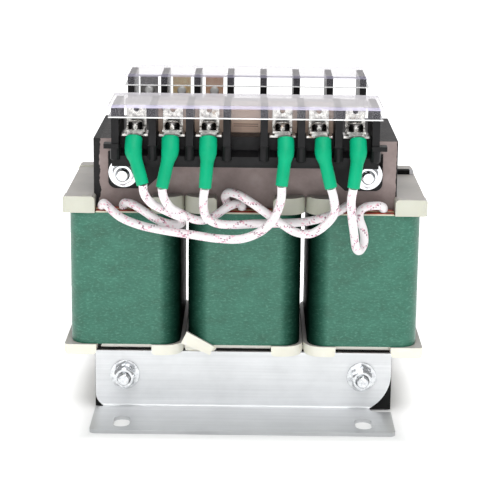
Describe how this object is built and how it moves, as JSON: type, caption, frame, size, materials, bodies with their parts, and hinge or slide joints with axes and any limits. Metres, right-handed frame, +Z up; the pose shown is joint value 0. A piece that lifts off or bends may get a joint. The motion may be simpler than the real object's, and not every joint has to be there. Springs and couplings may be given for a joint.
{
  "type": "three-phase transformer",
  "caption": "Open-frame three-phase dry transformer: laminated core, green taped coils, sheet-metal feet, and screw-terminal blocks under clear covers above the core.",
  "frame": {"origin": "on the floor, at the centre of the footprint of the feet and the core", "axes": "+X to the right as seen from the lead side, +Y to the rear, +Z up; the leads face -Y"},
  "size_m": [0.2396, 0.2028, 0.216],
  "materials": {
    "core": "varnished lamination edges, satin, dark and rough on the top",
    "bobbin": "cream nylon, satin",
    "enamelled_wire": "red-brown enamelled copper wire, varnished",
    "paper": "insulation paper, matt",
    "tape": "green woven glass tape, varnished, faint weave",
    "foot": "zinc-plated sheet, fine brush lines",
    "liner": "black insulating sheet, matt",
    "bracket": "black paint, satin",
    "fastener": "bright zinc plate",
    "block": "black phenolic, satin",
    "cover": "clear moulded plastic, glossy, faint lavender",
    "nickel": "nickel plate, worn satin",
    "dark_strip": "dark oxidised plate, satin",
    "brass_strip": "plain brass, satin",
    "copper_strip": "plain copper, satin",
    "white_head": "bright screw head",
    "backing": "tan laminate strip, satin",
    "tinned": "tinned copper, satin",
    "heat_sleeve": "green heat-shrink sleeve, satin",
    "lead_braid": "white glass braid with pink and dark tracer threads",
    "wedge": "black, with a light grey outer end"
  },
  "bodies": {
    "root": {"core_e_stack": "core", "core_i_stack": "core", "foot_bracket_front": "foot", "foot_bracket_rear": "foot", "insulating_sheet_front": "liner", "insulating_sheet_rear": "liner", "terminal_bracket_front": "bracket", "terminal_bracket_rear": "bracket", "clamp_bolts_upper": "fastener", "clamp_bolts_lower": "fastener", "clamp_nuts": "fastener", "flat_washers": "fastener", "spring_washers": "fastener", "terminal_block_front": "block", "terminal_block_rear": "block", "terminal_cover_front": "cover", "terminal_cover_rear": "cover", "terminal_strips_front": "nickel", "terminal_strip_dark": "dark_strip", "terminal_strip_brass": "brass_strip", "terminal_strip_copper": "copper_strip", "clamp_screws": "nickel", "square_washers": "nickel", "terminal_nuts": "nickel", "riser_screws": "white_head", "riser_nuts": "nickel", "block_screws": "fastener", "backing_strip": "backing", "cable_lugs": "tinned", "flange_wedge": "wedge", "bobbin_left": "bobbin", "inner_winding_left": "enamelled_wire", "winding_paper_left": "paper", "outer_winding_left": "enamelled_wire", "tape_wrap_left": "tape", "bobbin_middle": "bobbin", "inner_winding_middle": "enamelled_wire", "winding_paper_middle": "paper", "outer_winding_middle": "enamelled_wire", "tape_wrap_middle": "tape", "bobbin_right": "bobbin", "inner_winding_right": "enamelled_wire", "winding_paper_right": "paper", "outer_winding_right": "enamelled_wire", "tape_wrap_right": "tape", "heat_sleeve_1": "heat_sleeve", "lead_1": "lead_braid", "heat_sleeve_2": "heat_sleeve", "lead_2": "lead_braid", "heat_sleeve_3": "heat_sleeve", "lead_3": "lead_braid", "heat_sleeve_5": "heat_sleeve", "lead_5": "lead_braid", "heat_sleeve_6": "heat_sleeve", "lead_6": "lead_braid", "heat_sleeve_7": "heat_sleeve", "lead_7": "lead_braid"}
  },
  "joints": []
}
